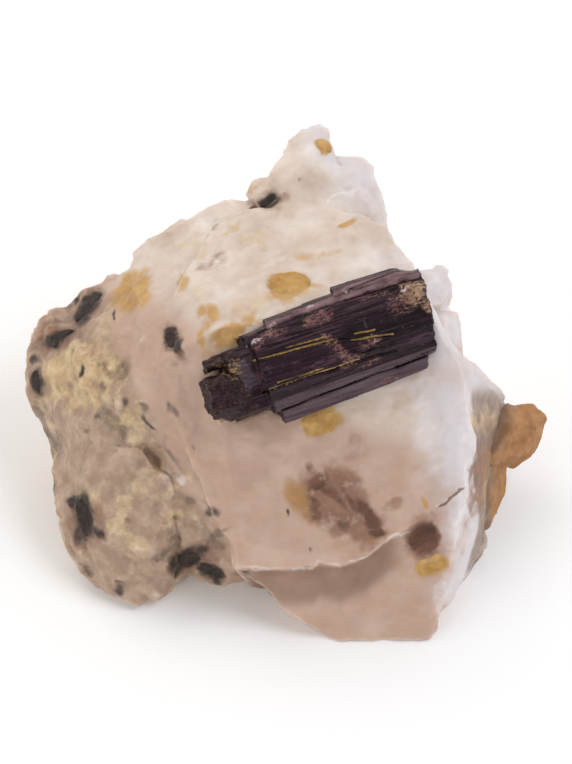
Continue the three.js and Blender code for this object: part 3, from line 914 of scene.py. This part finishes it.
def calcite_material():
    """Calcite broken along its cleavage: pale and waxy, with veils and soft mineral stains, and painted
    light:
    bluish light on the right, highlights on the lip, the ridge and the chipped edges, and shade in the
    creases, below the lip and, with its tan, on the lower front.
    """
    material, tree, surface = new_material("calcite_broken_cleavage")
    pattern = patterns(tree, STONE_PATTERNS)
    cloud, veil, mottle, grit = (pattern[name] for name in ("cloud", "veil", "mottle", "grit"))
    cover = covers(
        tree,
        {
            # tan, partly painted shade on the lower front
            "tan_zone": (cloud, 0.3, 0.1, 0.9, 1),
            # painted bluish light from the right
            "cool_zone": (cloud, 0.4, 0.1, 1.0, 1),
            "lobe_zone": (mottle, 0.4, 0.1, 0.9, 1),
            "lobe_smear": (grit, 0.5, 0.1, 1.1, 0.75),
            "lobe_glow": (grit, 0.4, 0.1, 1.1, 0.75),
            "side_zone": (cloud, 0.3, 0.1, 0.9, 0.9),
            # painted shadow under the lip
            "shade_zone": (cloud, 0.2, 0.0, 1.1, 1),
            "yellow_mark": (mottle, 0.7, 0.2, 1.1, 0.8),
            "pale_mark": (veil, 0.5, 0.2, 1.1, 0.7),
            "stain_mark": (mottle, 0.6, 0.1, 0.9, 0.85),
            "orange_mark": (mottle, 0.4, 0.15, 1.0, 0.9),
            "brown_mark": (mottle, 0.5, 0.15, 0.95, 0.9),
            "ochre_mark": (mottle, 0.45, 0.2, 0.9, 0.95),
            "dark_mark": (mottle, 0.45, 0.0, 1.0, 0.97),
            # painted highlight along the lip and the ridge
            "bright_line": (mottle, 0.9, 0.2, 1.3, 0.4),
            # convex edges: whitened chips and painted highlight
            "edges": (mottle, 0.5, 0.1, 1.3, 0.18),
            # painted shade in concave creases
            "creases": (mottle, 0.4, 0.1, 1.4, 0.6),
            "crack": (mottle, 0.3, 0.2, 0.8, 0.8),
        },
    )
    colour = layered_colour(
        tree,
        shaded(tree, ("#D0BAA8", "#E8DCD2"), cloud),
        (
            # tan, partly painted shade on the lower front
            (("#BC9B88", "#D0B4A2"), cloud, cover["tan_zone"]),
            # painted bluish light from the right
            (("#D2C5C1", "#E0DADC"), cloud, cover["cool_zone"]),
            (("#A08470", "#C6AC96"), mottle, cover["lobe_zone"]),
            (("#C7AB82", "#E3CCA8"), mottle, cover["lobe_glow"]),
            (("#6F5B4C", "#94806F"), mottle, cover["lobe_smear"]),
            (("#857060", "#A89080"), mottle, cover["side_zone"]),
            (("#BC9B6C", "#E0C89E"), mottle, cover["yellow_mark"]),
            # painted shadow under the lip
            (("#8E705D", "#A58673"), cloud, cover["shade_zone"]),
            (("#EDE5DE", "#F5F1EF"), veil, cover["pale_mark"]),
            # painted shade in concave creases
            (("#8A6F5D", "#A58A78"), mottle, cover["creases"]),
            # convex edges: whitened chips and painted highlight
            (("#ECE5E1", "#F4F0F0"), mottle, cover["edges"]),
            # painted highlight along the lip and the ridge
            (("#EFEAE8", "#F6F4F4"), mottle, cover["bright_line"]),
            (("#6E4836", "#A0775F"), mottle, cover["stain_mark"]),
            (("#A0703F", "#BE935F"), mottle, cover["orange_mark"]),
            (BROWN_SHADES, veil, cover["brown_mark"]),
            (OCHRE_SHADES, mottle, cover["ochre_mark"]),
            (DARK_SHADES, grit, cover["dark_mark"]),
            (("#5A4030", "#7A5A42"), grit, cover["crack"]),
        ),
    )
    link(tree, colour, surface, "Base Color")
    sheen = add_node(tree, "ShaderNodeMapRange", {"Value": cloud, "To Min": 0.38, "To Max": 0.58})
    link(tree, sheen.outputs["Result"], surface, "Roughness")
    grain = add_node(
        tree, "ShaderNodeMapRange", {"Value": cover["lobe_zone"], "To Min": 0.15, "To Max": 0.5}
    ).outputs["Result"]
    bump = add_node(
        tree, "ShaderNodeBump", {"Height": grit, "Strength": grain, "Distance": GRIT_DEPTH_MM * MM}
    )
    link(tree, bump.outputs["Normal"], surface, "Normal")
    surface.inputs["IOR"].default_value = 1.5
    surface.inputs["Specular IOR Level"].default_value = 0.4
    surface.inputs["Subsurface Weight"].default_value = 0.5
    surface.inputs["Subsurface Radius"].default_value = (1.0, 0.75, 0.55)
    surface.inputs["Subsurface Scale"].default_value = 1.0 * MM
    return material


def painite_material():
    """Painite as grown: near-black purple-brown with striated faces and grey strips. Its colour also holds
    painted light: sheen, shadow patches, sparkle, glints, golden glints along the striations, shade in the
    grooves and reflection on the strips.
    """
    material, tree, surface = new_material("painite_striated")
    pattern = patterns(
        tree,
        {
            "streak": (0.22, STRIATION_TURN_DEG, 14, 5),
            "fine": (0.12, STRIATION_TURN_DEG, 6, 3),
            "mottle": (0.7, 0, 2, 5),
            "speck": (0.14, 0, 1.6, 3),
        },
    )
    streak, fine, mottle, speck = (pattern[name] for name in ("streak", "fine", "mottle", "speck"))
    cover = covers(
        tree,
        {
            "stub_zone": (mottle, 0.3, 0.2, 0.8, 1),
            # top strip: own colour and painted reflection
            "top_strip": (mottle, 0.5, 0.2, 1.0, 0.9),
            # grey strips: own colour and painted reflection
            "grey_strip": (streak, 0.2, 0.2, 0.8, 1),
            "bevel": (mottle, 0.2, 0.2, 0.8, 0.9),
            # painted golden glints
            "gold": (streak, 0.9, 0.2, 1.0, 0.85),
            "pink": (speck, 0.9, 0.25, 1.2, 0.85),
            "crust": (speck, 0.8, 0.2, 1.0, 0.85),
            "brass": (speck, 1.0, 0.5, 1.3, 0.85),
            "glint": (speck, 0.9, 0.3, 1.1, 0.8),
            # painted sheen, then painted shadow patches
            "lustre": (fine, 0.9, 0.2, 1.3, 0.8),
            "gloom": (fine, 0.6, 0.1, 1.1, 0.9),
            # painted shade in the grooves
            "groove": (streak, 0.2, 0.2, 0.9, 1),
        },
    )
    # Sparse light specks are painted sparkle
    fleck = add_node(
        tree, "ShaderNodeMapRange", {"Value": speck, "From Min": 0.92, "From Max": 1.0, "To Max": 0.25}
    ).outputs["Result"]
    colour = layered_colour(
        tree,
        shaded(tree, ("#030103", "#2B1723"), streak),
        (
            # painted shadow patches, then painted sheen
            (("#010001", "#0C060A"), streak, cover["gloom"]),
            (("#301A26", "#6B4854"), streak, cover["lustre"]),
            (("#080405", "#36211F"), speck, cover["stub_zone"]),
            # top strip: own colour and painted reflection
            (("#452B33", "#927575"), mottle, cover["top_strip"]),
            # grey strips: own colour and painted reflection
            (("#43353B", "#5F5055"), streak, cover["grey_strip"]),
            (("#332C33", "#4F464C"), fine, cover["bevel"]),
            # painted sparkle
            (("#5E454B", "#93777A"), speck, fleck),
            # painted shade in the grooves
            (("#070205", "#160A10"), streak, cover["groove"]),
            (("#55303A", "#A37A6E"), mottle, cover["pink"]),
            (("#6F4F3C", "#C4A183"), mottle, cover["crust"]),
            (("#8E7076", "#DCCBCF"), speck, cover["glint"]),
            # painted golden glints
            (("#6A4E22", "#C4A25A"), speck, cover["gold"]),
            (("#5C4426", "#A88850"), fine, cover["brass"]),
        ),
    )
    link(tree, colour, surface, "Base Color")
    gloss = add_node(tree, "ShaderNodeMapRange", {"Value": mottle, "To Min": 0.24, "To Max": 0.46})
    link(tree, gloss.outputs["Result"], surface, "Roughness")
    bump = add_node(
        tree, "ShaderNodeBump", {"Height": streak, "Strength": 0.35, "Distance": STREAK_DEPTH_MM * MM}
    )
    link(tree, bump.outputs["Normal"], surface, "Normal")
    surface.inputs["IOR"].default_value = 1.6
    surface.inputs["Specular IOR Level"].default_value = 0.28
    surface.inputs["Specular Tint"].default_value = linear("#F0D4DE")
    return material


def grain_material(name, shades, pattern_name, edge_shades):
    """Dull granular mineral, with other shades where a piece meets the calcite."""
    material, tree, surface = new_material(name)
    pattern = patterns(tree, STONE_PATTERNS)
    cover = covers(tree, {"edge_zone": (pattern["mottle"], 0.4, 0.1, 0.9, 1)})
    colour = layered_colour(
        tree,
        shaded(tree, shades, pattern[pattern_name]),
        ((edge_shades, pattern["mottle"], cover["edge_zone"]),),
    )
    link(tree, colour, surface, "Base Color")
    bump = add_node(
        tree, "ShaderNodeBump", {"Height": pattern["grit"], "Strength": 0.4, "Distance": GRIT_DEPTH_MM * MM}
    )
    link(tree, bump.outputs["Normal"], surface, "Normal")
    surface.inputs["Roughness"].default_value = 0.55
    surface.inputs["Specular IOR Level"].default_value = 0.35
    surface.inputs["Subsurface Weight"].default_value = 0.3
    surface.inputs["Subsurface Radius"].default_value = (1.0, 0.6, 0.3)
    surface.inputs["Subsurface Scale"].default_value = 0.6 * MM
    return material


def white_floor():
    """Plain white sheet under the stone."""
    mesh = bpy.data.meshes.new("floor")
    half = FLOOR_HALF_M
    corners = [(-half, -half, 0), (half, -half, 0), (half, half, 0), (-half, half, 0)]
    mesh.from_pydata(corners, [], [(0, 1, 2, 3)])
    floor = new_piece("floor", mesh)
    material, _, surface = new_material("white_paper")
    surface.inputs["Base Color"].default_value = linear("#FDFDFD")
    surface.inputs["Emission Color"].default_value = linear("#FFFFFF")
    surface.inputs["Emission Strength"].default_value = FLOOR_GLOW
    surface.inputs["Roughness"].default_value = 0.9
    surface.inputs["Specular IOR Level"].default_value = 0.1
    mesh.materials.append(material)


def area_light(name, place, size, watts, code):
    """A soft square light that faces the stone."""
    light = bpy.data.lights.new(name, "AREA")
    light.energy = watts
    light.size = size
    light.color = linear(code)[:3]
    lamp = bpy.data.objects.new(name, light)
    bpy.context.scene.collection.objects.link(lamp)
    lamp.location = place
    target = Vector(from_face((*VIEW_CENTRE_MM, 0)) * MM)
    lamp.rotation_euler = (target - lamp.location).to_track_quat("-Z", "Y").to_euler()


def studio():
    """Soft white surroundings, three lights and a floor."""
    scene = bpy.context.scene
    scene.view_settings.view_transform = "Standard"
    world = bpy.data.worlds.new("studio")
    scene.world = world
    world.use_nodes = True
    tree = world.node_tree
    background = tree.nodes["Background"]
    background.inputs["Color"].default_value = linear("#FFFFFF")
    direction = add_node(tree, "ShaderNodeTexCoord").outputs["Generated"]
    out_of_face = (0, -math.cos(FACE_ELEVATION), math.sin(FACE_ELEVATION))
    nearness = add_node(tree, "ShaderNodeVectorMath", {0: direction, 1: out_of_face}, operation="DOT_PRODUCT")
    strength = add_node(
        tree,
        "ShaderNodeMapRange",
        {
            "Value": nearness.outputs["Value"],
            "From Min": DIM_STARTS_COSINE,
            "From Max": DIM_FULL_COSINE,
            "To Min": BRIGHT_STRENGTH,
            "To Max": DIM_STRENGTH,
        },
        interpolation_type="SMOOTHSTEP",
    ).outputs["Result"]
    link(tree, strength, background, "Strength")
    for light in LIGHTS:
        area_light(*light)
    white_floor()


def photo_camera():
    """Long lens straight onto the display face, with the photograph's frame."""
    camera = bpy.data.cameras.new("photo_camera")
    camera.lens = SENSOR_MM * CAMERA_DISTANCE_MM / (PHOTO_HEIGHT_PX * PIXEL_MM)
    camera.sensor_width = SENSOR_MM
    view = bpy.data.objects.new("photo_camera", camera)
    bpy.context.scene.collection.objects.link(view)
    view.location = from_face((*VIEW_CENTRE_MM, CAMERA_DISTANCE_MM)) * MM
    view.rotation_euler = (math.pi / 2 - FACE_ELEVATION, 0, 0)
    bpy.context.scene.camera = view


photo_camera()
studio()
slots = {entry["node"]: entry["material_slot"] for entry in frame["record"]["subparts"]}
seated_nodes = [name for name in slots if name != "calcite_matrix"]
calcite_matrix(seated_nodes, slots, calcite_material())
painite_crystal(painite_material())
ochre_mass(grain_material("ochre_lump", MASS_SHADES, "mottle", MASS_EDGE_SHADES))
grain_materials = {
    "ochre_mineral": grain_material("ochre_granular", OCHRE_SHADES, "mottle", OCHRE_SHADES),
    "brown_mineral": grain_material("brown_granular", BROWN_SHADES, "veil", BROWN_SHADES),
    "dark_mineral": grain_material("dark_granular", DARK_SHADES, "grit", DARK_SHADES),
}
for name in seated_nodes:
    if name not in ("painite_crystal", "ochre_mass"):
        mineral_grain(name, grain_materials[slots[name]])
